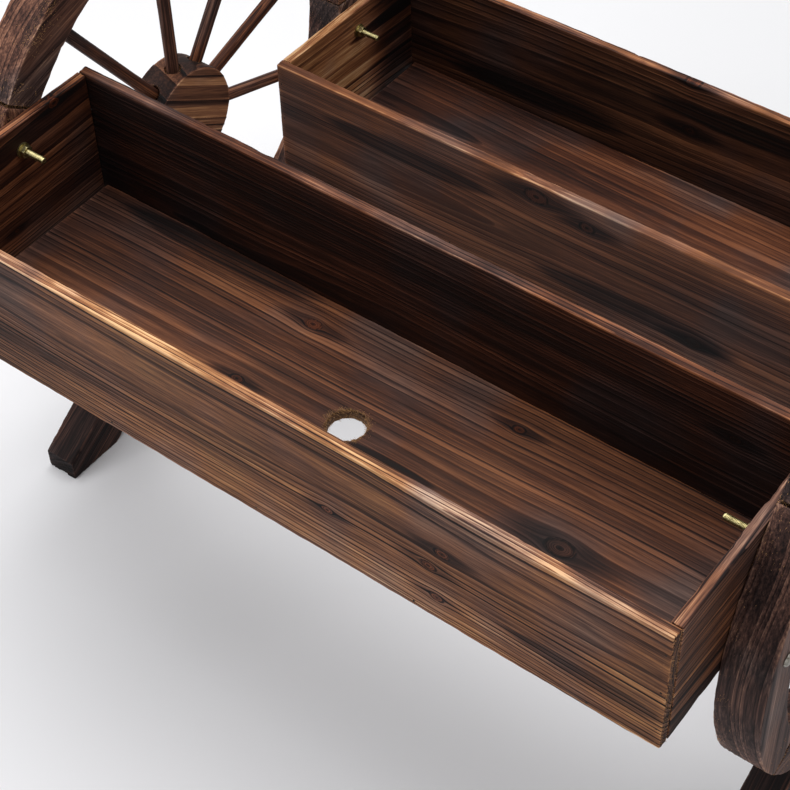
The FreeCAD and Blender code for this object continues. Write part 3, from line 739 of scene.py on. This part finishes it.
# wheels
wheel = dict(x=380.0, middleRadius=241.0, depth=40.0, thickness=40.0, joint=0.5, arris=1.7, step=1.05, alongStep=3.2,
             hubRadius=53.0, hubLength=38.0, spokeRadius=6.35, spokeStart=27.35, spokeEnd=236.0,
             socketRadius=8.5, hubGrain=(0, 0.857, -0.515), hubOut=(0.3, 0.515, 0.857))
# the right felloes' lower tone is painted shade, for their outer faces turned away from the key light
felloes = dict(count=5, tone={-1: 0.46, 1: 0.42}, ashen={-1: 0.5, 1: 0.7}, torn={-1: 0.7, 1: 0.25})   # left, right
spokes = dict(count=10, pitch=math.radians(36))
for side, sign in (("left", -1), ("right", 1)):
    for k in range(felloes["count"]):
        name = "%s_felloe_%d" % (side, k + 1)
        angle = math.radians(36 + 72 * k)
        arc = math.radians(72) * wheel["middleRadius"] - wheel["joint"]
        size = np.array([wheel["depth"], arc, wheel["thickness"]])
        seed = 60 + 7 * k + (40 if sign > 0 else 0)
        out = Vector((0, math.cos(angle), math.sin(angle)))
        chord = Vector((0, -math.sin(angle), math.cos(angle)))
        centre = Vector((sign * wheel["x"], 0, hubHeight)) + out * wheel["middleRadius"]
        wood = woodOf(centre * mm, chord, Vector((sign, 0, 0)) + 0.12 * out, 0.062, 0.012 * (k - 2), (0.004, 0.03),
                      seed=seed * 1.0, ring=5.0, tone=felloes["tone"][sign], contrast=0.16, relief=0.3, fibre=0.35,
                      ashen=felloes["ashen"][sign])
        material = woodMaterial("burntSawnFir_" + name, wood)
        points, quads = shellOfBlock([latticePlanes(long, step, wheel["arris"]) for long, step in zip(
            size, (wheel["step"], wheel["alongStep"], wheel["step"]))])
        points = wornBlock(points, size, wheel["arris"], 1, seed, 7, 3.0)

        def bend(p):
            swing = angle + p[:, 1] / wheel["middleRadius"]
            reach = wheel["middleRadius"] + p[:, 0]
            return np.stack([p[:, 2] + sign * wheel["x"], reach * np.cos(swing),
                             hubHeight + reach * np.sin(swing)], -1)

        def straighten(p):
            y, z = p[:, 1], p[:, 2] - hubHeight
            swing = (np.arctan2(z, y) - angle + math.pi) % (2 * math.pi) - math.pi
            return np.stack([np.hypot(y, z) - wheel["middleRadius"], swing * wheel["middleRadius"],
                             p[:, 0] - sign * wheel["x"]], -1)

        thing = brushed(name + "_wood", bend(points), quads, wood, material)
        block = straighten(pointsOf(thing) / mm)
        fromEnd = size[1] / 2 - np.abs(block[:, 1])
        edge = np.hypot(size[0] / 2 - block[:, 0], size[2] / 2 + sign * block[:, 2])
        patches = np.clip(np.sin(block[:, 1] / 7.3 + k) * np.sin(block[:, 1] / 19.0 + 2 * k) + 0.35, 0, 1)
        tornAt = 0.16 * np.exp(-(fromEnd / 30) ** 2) + felloes["torn"][sign] * np.exp(-(edge / 11) ** 2)
        tornAt = tornAt * patches + 0.9 * np.exp(-(fromEnd / 1.6) ** 2)
        markWood(thing, block, size, 1, torn=tornAt)
        thing = tearFibres(thing, chord, 56, 2.6, 0.25, seed)
        finishPiece(thing, "charred_rim_wood", name)
print("felloes ready")

hubMiddles = {"left": -wheel["x"], "right": wheel["x"]}
for side, x in hubMiddles.items():
    name = side + "_hub"
    radius, half, arris = wheel["hubRadius"], wheel["hubLength"] / 2, 1.6
    points, quads = shellOfBlock([latticePlanes(2 * half, 1.2, arris), latticePlanes(2 * radius, 1.3, arris),
                                  latticePlanes(2 * radius, 1.3, arris)])
    a, b = points[:, 1] / radius, points[:, 2] / radius
    disc = np.stack([a * np.sqrt(1 - b * b / 2), b * np.sqrt(1 - a * a / 2)], -1) * radius
    reach = np.linalg.norm(disc, axis=1)
    heading = disc / np.maximum(reach, 1e-6)[:, None]
    coreReach, coreX = np.minimum(reach, radius - arris), np.clip(points[:, 0], arris - half, half - arris)
    away = np.stack([reach - coreReach, points[:, 0] - coreX], -1)
    grow = np.linalg.norm(away, axis=1)
    away *= np.where(grow > 1e-6, arris / np.maximum(grow, 1e-6), 0)[:, None]
    rounded = (coreReach + away[:, 0])[:, None] * heading
    points = np.stack([coreX + away[:, 1] + x, rounded[:, 0], rounded[:, 1] + hubHeight], -1)
    wood = woodOf(Vector((x, 0, hubHeight)) * mm, wheel["hubGrain"], wheel["hubOut"], 0.12, seed=90.0 + x * 0.01,
                  ring=8.6, tone=0.62, contrast=0.34, relief=0.45, fibre=0.35, golden=0.35, ashen=0.25, streaks=0.7)
    material = woodMaterial("burntTurnedFir_" + name, wood)
    thing = brushed(name + "_wood", points, quads, wood, material)
    sockets = []
    for k in range(spokes["count"]):
        angle = math.radians(18 + 36 * k)
        steps = [(wheel["spokeStart"] - 1, wheel["spokeRadius"] + 0.1, 0.0),
                 (radius - 7, wheel["spokeRadius"] + 0.15, 0.1),
                 (radius - 3, wheel["socketRadius"] - 0.6, 0.25), (radius + 6, wheel["socketRadius"] + 0.4, 0.35)]
        sockets.append(((x, 0, hubHeight), (0, math.cos(angle), math.sin(angle)), steps))
    thing = boreRough(thing, sockets, int(100 + x * 0.1), 40)
    place = pointsOf(thing) / mm
    reach = np.hypot(place[:, 1], place[:, 2] - hubHeight)
    block = np.stack([place[:, 0] - x, reach - radius / 2, np.zeros(len(reach))], -1)
    swing = (np.arctan2(place[:, 2] - hubHeight, place[:, 1]) - math.radians(18)) / spokes["pitch"]
    gap = np.hypot((swing - np.round(swing)) * spokes["pitch"] * radius, place[:, 0] - x) - wheel["socketRadius"]
    tornAt = np.exp(-(gap / 1.3) ** 2) * (reach > radius - 2.5)
    # the turned side is end grain for the most part and took the flame darkest
    turned = np.clip(1 + (half - np.abs(place[:, 0] - x) - (radius - reach)) / 0.8, 0, 1) * (reach > radius - 4)
    markWood(thing, block, (2 * half, radius, 2 * radius), 1, torn=tornAt, end=2.2 * turned)
    thing = tearFibres(thing, wheel["hubGrain"], 40, 2.2, 0.22, 17)
    finishPiece(thing, "charred_hub_wood", name)
print("hubs ready")


def spokeRing():
    # ten dowels about the hub, each from its own piece of the log
    tree, add, given = newTree("spokeRing", {"Count": "Int", "Radius": "Float", "Inner": "Float", "Outer": "Float",
                                             "Hub": "Vector", "Relief": "Float", "Fibre": "Float",
                                             "Material": "Material", **logSockets}, {"Geometry": "Geometry"})
    length = add("Math", given["Outer"], given["Inner"], operation="SUBTRACT")
    dowel = add("GeometryNodeMeshCylinder", {"Vertices": 40, "Side Segments": 64, "Fill Segments": 2,
                "Radius": given["Radius"], "Depth": length}, fill_type="TRIANGLE_FAN")
    place = add("GeometryNodeInputPosition")
    kept = add("GeometryNodeStoreNamedAttribute", {"Geometry": dowel, "Name": "ownPlace", "Value": place},
               data_type="FLOAT_VECTOR", domain="POINT")
    middle = add("Math", length, 0.5, given["Inner"], operation="MULTIPLY_ADD")
    middle = add("CombineXYZ", {2: middle})
    raised = add("GeometryNodeTransform", {"Geometry": kept, "Translation": middle})
    marks = add("GeometryNodeMeshLine", {"Count": given["Count"], "Offset": (0, 0, 0)})
    index = add("GeometryNodeInputIndex")
    pitch = add("Math", 2 * math.pi, given["Count"], operation="DIVIDE")
    swing = add("Math", index, 0.5, operation="ADD")
    swing = add("Math", swing, pitch, -math.pi / 2, operation="MULTIPLY_ADD")
    swing = add("CombineXYZ", swing)
    ring = add("GeometryNodeInstanceOnPoints", {"Points": marks, "Instance": raised, "Rotation": swing})
    numbered = add("GeometryNodeStoreNamedAttribute", {"Geometry": ring, "Name": "number", "Value": index},
                   data_type="FLOAT", domain="INSTANCE")
    real = add("GeometryNodeRealizeInstances", {"Geometry": numbered})
    number = add("GeometryNodeInputNamedAttribute", {"Name": "number"}, data_type="FLOAT")
    ownPlace = add("GeometryNodeInputNamedAttribute", {"Name": "ownPlace"}, data_type="FLOAT_VECTOR")
    spread = add("VectorMath", (0.031, 0.0173, 0.21), {"Scale": number}, operation="SCALE")
    fromLog = add("VectorMath", ownPlace, spread, operation="ADD")
    stored = add("GeometryNodeStoreNamedAttribute", {"Geometry": real, "Name": "grainPlace", "Value": fromLog},
                 data_type="FLOAT_VECTOR", domain="POINT")
    grain = firGrain(add, fromLog, given)
    early = add("Math", 1.0, grain["late"], operation="SUBTRACT")
    early = add("Math", early, given["Relief"], operation="MULTIPLY")
    worn = add("Math", grain["fibre"], given["Fibre"], early, operation="MULTIPLY_ADD")
    sunk = add("Math", worn, -1.0, operation="MULTIPLY")
    normal = add("GeometryNodeInputNormal")
    offset = add("VectorMath", normal, {"Scale": sunk}, operation="SCALE")
    moved = add("GeometryNodeSetPosition", {"Geometry": stored, "Offset": offset})
    hung = add("GeometryNodeTransform", {"Geometry": moved, "Translation": given["Hub"]})
    smooth = add("GeometryNodeSetShadeSmooth", {"Geometry": hung})
    coated = add("GeometryNodeSetMaterial", {"Geometry": smooth, "Material": given["Material"]})
    add("NodeGroupOutput", coated)
    return tree


dowelRing = spokeRing()
for side, x in hubMiddles.items():
    wood = woodOf((0, 0, 0), (0, 0, 1), (0, 1, 0), 0.055, 0.01, (0.01, 0.01), seed=120.0 + x * 0.01, ring=2.6,
                  tone=0.45, contrast=0.26, relief=0.22, fibre=0.2)
    material = woodMaterial("burntDowelledFir_%s_spokes" % side, wood, "grainPlace")
    thing = bakeNodes(meshObject("spokes", [(0, 0, 0)], []), side + "_spokes_wood", dowelRing,
                      {**wood, "Count": spokes["count"], "Radius": wheel["spokeRadius"] * mm,
                       "Inner": wheel["spokeStart"] * mm, "Outer": wheel["spokeEnd"] * mm,
                       "Hub": (x * mm, 0, hubHeight * mm), "Material": material})
    finishPiece(thing, "charred_spoke_wood",
                *["%s_spoke_%02d" % (side, k + 1) for k in range(spokes["count"])])
print("spokes ready")


# legs
leg = dict(slope=math.radians(35), width=54.0, thickness=35.0, reach=227.0, nose=22.0, tread=261.2, length=190.0,
           tone={-1: 0.26, 1: 0.17}, arris=1.6, step=1.1, alongStep=3.5)
run = np.array([math.cos(leg["slope"]), math.sin(leg["slope"])])
square = np.array([-run[1], run[0]])
sole = (leg["width"] - leg["nose"] * run[0]) / run[1]
heel = np.array([sole - leg["reach"], -hubHeight])
toeT = sole * run[1]


def legSpan(t):
    # where a leg starts at its foot and ends at the tread, t across its width
    foot = np.where(t < toeT, -t * run[0] / run[1], -sole * run[0] + (t - toeT) * run[1] / run[0])
    start = heel + np.outer(t, square)
    along = start @ run
    return foot, -along - np.sqrt(along ** 2 - (start ** 2).sum(1) + leg["tread"] ** 2)


for side, sign in (("left", -1), ("right", 1)):
    for row, facing in (("front", 1), ("rear", -1)):
        name = "%s_%s_leg" % (side, row)
        size = np.array([leg["thickness"], leg["length"], leg["width"]])
        planes = [latticePlanes(long, step, leg["arris"]) for long, step in zip(
            size, (leg["step"], leg["alongStep"], leg["step"]))]
        t = planes[2]
        t[np.argmin(np.abs(t - toeT + leg["width"] / 2))] = toeT - leg["width"] / 2   # one plane runs at the toe
        points, quads = shellOfBlock(planes)
        seed = 140 + 11 * facing + 5 * sign
        block = wornBlock(points, size, leg["arris"], 1, seed, 6, 3.0)
        t = block[:, 2] + leg["width"] / 2
        foot, top = legSpan(t)
        s = foot + (block[:, 1] / leg["length"] + 0.5) * (top - foot)
        flat = heel + np.outer(s, run) + np.outer(t, square)
        points = np.stack([block[:, 0] + sign * wheel["x"], flat[:, 0] * facing, flat[:, 1] + hubHeight], -1)
        grain = Vector((0, run[0] * facing, run[1]))
        wood = woodOf(Vector(points.mean(0)) * mm, grain, (0.8 * sign, -0.5 * facing, 0.5), 0.07, 0.02, (0.02, 0.01),
                      seed=float(seed), ring=4.2, tone=leg["tone"][sign], contrast=0.16, relief=0.35, fibre=0.3,
                      ashen=0.6)
        material = woodMaterial("burntSawnFir_" + name, wood)
        thing = brushed(name + "_wood", points, quads, wood, material, facing < 0)
        place = pointsOf(thing) / mm
        flat = np.stack([place[:, 1] * facing, place[:, 2] - hubHeight], -1) - heel
        s, t = flat @ run, flat @ square
        foot, top = legSpan(t)
        block = np.stack([place[:, 0] - sign * wheel["x"], ((s - foot) / (top - foot) - 0.5) * leg["length"],
                          t - leg["width"] / 2], -1)
        markWood(thing, block, size, 1)
        finishPiece(thing, "charred_leg_wood", name)
print("legs ready")


# fasteners
steel = dict(boltLength=75.0, boltRadius=3.0, headRadius=7.0, headHeight=3.4, threadStart=44.0, threadEnd=73.8,
             pitch=1.0, threadDepth=0.5, boltDrop=26.0, washer=1.4, nutFlats=10.0, nutHeight=5.0, wallFace=350.0,
             rimFace=400.0, screwRadius=2.5, screwHead=6.0, screwHeadHeight=3.0, screwLength=49.0, screwPoint=7.0,
             legScrewRadius=2.25, legScrewHead=4.5, legScrewHeadHeight=2.5, legScrewSpacing=16.0,
             legScrewSetback=22.0, legScrewBite=24.0, sharpFrom=math.radians(34))


def metalMaterial(name, pale, deep, roughness, stain, stainShare, metallic=1.0):
    material, add = newMaterial(name)
    place = add("TexCoord")["Object"]
    cloudy = add("TexNoise", {"Vector": place, "Scale": 260.0, "Detail": 3.0, "Roughness": 0.6})
    colour = addRamp(add("ValToRGB", cloudy), [(0.36, deep), (0.62, pale)])
    dull = add("TexNoise", {"Vector": place, "Scale": 900.0, "Detail": 2.0})
    spots = add("MapRange", dull, {"From Min": 0.66 - stainShare, "From Max": 0.72})
    colour = add("Mix", spots, {6: colour, 7: linear(stain)}, data_type="RGBA")[2]
    rough = add("MapRange", dull, {"To Min": roughness - 0.08, "To Max": roughness + 0.16})
    bump = add("Bump", {"Strength": 0.3, "Distance": 0.05 * mm, "Height": dull})
    skin = add("BsdfPrincipled", {"Base Color": colour, "Metallic": metallic, "Roughness": rough,
               "Normal": bump})
    add("OutputMaterial", {"Surface": skin})
    return material


# passivated plating, a greenish gold with cloudy spots
yellowZinc = metalMaterial("yellowZincPlatedSteel", "#bcb182", "#857a54", 0.30, "#5c5030", 0.03)
# drawn screw wire, bright with small brown stains
brightSteel = metalMaterial("drawnBrightSteel", "#a7a39a", "#6b675f", 0.34, "#4d3b28", 0.08)
# oven-blackened brad wire, nearly the colour of the char around it
blackWire = metalMaterial("blackenedBradWire", "#2b2724", "#151210", 0.52, "#0c0a09", 0.05, 0.9)


def turnedObject(name, profile, count, reachOf=None):
    # a lathe shape along +X from its (along, radius) steps, closed at both ends
    turns = np.arange(count) * 2 * math.pi / count
    steps = np.array(profile)
    reach = steps[:, 1:2] * np.ones(count) if reachOf is None else reachOf(steps[:, 1:2], turns)
    points = np.stack([np.repeat(steps[:, 0], count), (reach * np.cos(turns)).ravel(),
                       (reach * np.sin(turns)).ravel()], -1)
    a, k = np.meshgrid(np.arange(len(steps) - 1), np.arange(count), indexing="ij")
    n = (k + 1) % count
    faces = np.stack([a * count + k, a * count + n, (a + 1) * count + n, (a + 1) * count + k], -1)
    faces = faces.reshape(-1, 4).tolist()
    last = (len(steps) - 1) * count
    faces += [list(range(count))[::-1], list(range(last, last + count))]
    thing = meshObject(name, points * mm, faces)
    thing.data.shade_smooth()
    thing.data.set_sharp_from_angle(angle=steel["sharpFrom"])
    return thing


def crossRecess(thing, seat, reach, width, depth):
    # presses a driver's cross into a screw head whose top is at seat, facing -X
    half = width / 2
    outline = [(half, half), (half, reach), (-half, reach), (-half, half), (-reach, half), (-reach, -half),
               (-half, -half), (-half, -reach), (half, -reach), (half, -half), (reach, -half), (reach, half)]
    points = [(x, y * k, z * k) for x, k in ((seat - 1.0, 1.15), (seat + depth, 0.55)) for y, z in outline]
    faces = [list(range(12)), list(range(23, 11, -1))]
    faces += [[(k + 1) % 12, k, k + 12, (k + 1) % 12 + 12] for k in range(12)]
    done = cutAway(thing, points, faces)
    done.data.set_sharp_from_angle(angle=steel["sharpFrom"])
    return done


def seatedFasteners():
    # rolls a thread into a fastener that lies along +X, and puts one on every seat
    tree, add, given = newTree("seatedFasteners", {"Geometry": "Geometry", "Fastener": "Object", "Start": "Float",
                                                   "End": "Float", "Pitch": "Float", "Depth": "Float",
                                                   "Material": "Material"}, {"Geometry": "Geometry"})
    blank = add("GeometryNodeObjectInfo", {"Object": given["Fastener"]})["Geometry"]
    place = add("GeometryNodeInputPosition")
    axes = add("SeparateXYZ", place)
    turn = add("Math", axes[2], axes[1], operation="ARCTAN2")
    turn = add("Math", turn, 2 * math.pi, operation="DIVIDE")
    climb = add("Math", axes[0], given["Pitch"], operation="DIVIDE")
    phase = add("Math", climb, turn, operation="SUBTRACT")
    cut = add("Math", phase, 0.5, operation="PINGPONG")
    after = add("Math", axes[0], given["Start"], operation="GREATER_THAN")
    before = add("Math", axes[0], given["End"], operation="LESS_THAN")
    for factor in (given["Depth"], after, before, -2.0):
        cut = add("Math", cut, factor, operation="MULTIPLY")
    out = add("VectorMath", place, (0, 1, 1), operation="MULTIPLY")
    out = add("VectorMath", out, operation="NORMALIZE")
    out = add("VectorMath", out, {"Scale": cut}, operation="SCALE")
    threaded = add("GeometryNodeSetPosition", {"Geometry": blank, "Offset": out})
    ahead = add("GeometryNodeInputNamedAttribute", {"Name": "ahead"}, data_type="FLOAT_VECTOR")
    spin = add("FunctionNodeAlignRotationToVector", {"Vector": ahead}, axis="X")
    seated = add("GeometryNodeInstanceOnPoints", {"Points": given["Geometry"], "Instance": threaded,
                 "Rotation": spin})
    real = add("GeometryNodeRealizeInstances", {"Geometry": seated})
    coated = add("GeometryNodeSetMaterial", {"Geometry": real, "Material": given["Material"]})
    add("NodeGroupOutput", coated)
    return tree


seating = seatedFasteners()


def seatAll(name, fastener, seats, material, slot, node, thread=(0.0, 0.0)):
    places = meshObject(name, np.array([seat for seat, ahead in seats]) * mm, [])
    layer = places.data.attributes.new("ahead", "FLOAT_VECTOR", "POINT")
    layer.data.foreach_set("vector", np.array([ahead for seat, ahead in seats], np.float32).ravel())
    thing = bakeNodes(places, name, seating,
                      {"Fastener": fastener, "Start": thread[0] * mm, "End": thread[1] * mm,
                       "Pitch": steel["pitch"] * mm, "Depth": steel["threadDepth"] * mm, "Material": material})
    bpy.data.objects.remove(fastener)
    finishPiece(thing, slot, node)


def headProfile(radius, height):
    # a low dome from its crown down to its brim
    return [(-height * math.cos(math.radians(a)), max(0.3, radius * math.sin(math.radians(a)) ** 0.8))
            for a in (2, 18, 34, 50, 64, 76, 84, 90)]


boltSeats, nutSeats, screwSeats, legScrewSeats = [], [], [], []
for sign in (-1, 1):
    for row, trunk in ((-1, "front"), (1, "rear")):
        boardLow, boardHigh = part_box(trunk + "_trough_left_end")
        for z, seats in ((boardHigh[2] / mm - steel["boltDrop"], boltSeats),
                         (boardLow[2] / mm + steel["boltDrop"], screwSeats)):
            y = row * math.sqrt(wheel["middleRadius"] ** 2 - (z - hubHeight) ** 2)
            seats.append(((sign * steel["rimFace"], y, z), (-sign, 0, 0)))
            if seats is boltSeats:
                nutSeats.append(((sign * (steel["wallFace"] - steel["washer"]), y, z), (-sign, 0, 0)))
    for facing in (1, -1):
        start = (heel + run * (legSpan(np.zeros(1))[1][0] - steel["legScrewSetback"])
                 + square * steel["legScrewHeadHeight"])
        for step in (-0.5, 0.5):
            x = sign * wheel["x"] + step * steel["legScrewSpacing"]
            legScrewSeats.append(((x, start[0] * facing, start[1] + hubHeight), (0, square[0] * facing, square[1])))
reachAlong = start @ square
legScrewLength = (-reachAlong - math.sqrt(reachAlong ** 2 - start @ start + leg["tread"] ** 2)
                  + steel["legScrewBite"])

threadSteps = np.arange(steel["threadStart"] - 1, steel["threadEnd"] + 0.2, 0.2)
bolt = turnedObject("coachBolt", headProfile(steel["headRadius"], steel["headHeight"]) + [(0, steel["boltRadius"])]
                    + [(along, steel["boltRadius"]) for along in threadSteps]
                    + [(steel["boltLength"], steel["boltRadius"] - 0.8)], 24)
seatAll("threadedBolts", bolt, boltSeats, yellowZinc, "yellow_zinc_steel", "trough_bolts",
        (steel["threadStart"], steel["threadEnd"]))


def hexReach(limit, turns):
    # a nut's flats, cut down to a circle where its corners are chamfered, and its round hole
    flats = steel["nutFlats"] / 2 / np.cos((turns + math.pi / 6) % (math.pi / 3) - math.pi / 6)
    return np.where(limit < steel["boltRadius"] + 0.5, limit, np.minimum(flats, limit))


corner = steel["nutFlats"] / 2 / math.cos(math.pi / 6)
high = steel["nutHeight"]
nutSteps = [(1.2, 3.05), (0.35, 3.05), (0.0, 3.45), (0.0, 5.0), (0.2, 5.3), (0.5, corner)]   # one face, from its bore
nutSteps += [(high - along, reach) for along, reach in nutSteps[::-1]]
nut = turnedObject("nut", nutSteps, 72, hexReach)
seatAll("chamferedNuts", nut, nutSeats, yellowZinc, "yellow_zinc_steel", "bolt_nuts")

for name, node, kind, seats, length in (
        ("rimScrews", "rim_screws", "screw", screwSeats, steel["screwLength"]),
        ("legScrews", "leg_screws", "legScrew", legScrewSeats, legScrewLength - steel["legScrewHeadHeight"])):
    radius, head, height = (steel[kind + part] for part in ("Radius", "Head", "HeadHeight"))
    screw = turnedObject("screw", headProfile(head, height) + [(0, radius), (length - steel["screwPoint"], radius),
                                                               (length, 0.3)], 28)
    screw = crossRecess(screw, -height, head * 0.52, head * 0.2, height * 0.6)
    seatAll(name, screw, seats, brightSteel, "bright_steel", node)

dowelWood = woodOf((0, 0, 0), (0, 1, 0), (1, 0, 0), 0.05, seed=61.0, ring=2.2, tone=0.82, contrast=0.2)
for name, material in (("bolt_washers", yellowZinc), ("trough_brads", blackWire),
                       ("rim_dowels", woodMaterial("plainTurnedFirDowel", dowelWood))):
    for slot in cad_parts[name].material_slots:
        slot.material = material
print("fasteners ready")

low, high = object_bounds()
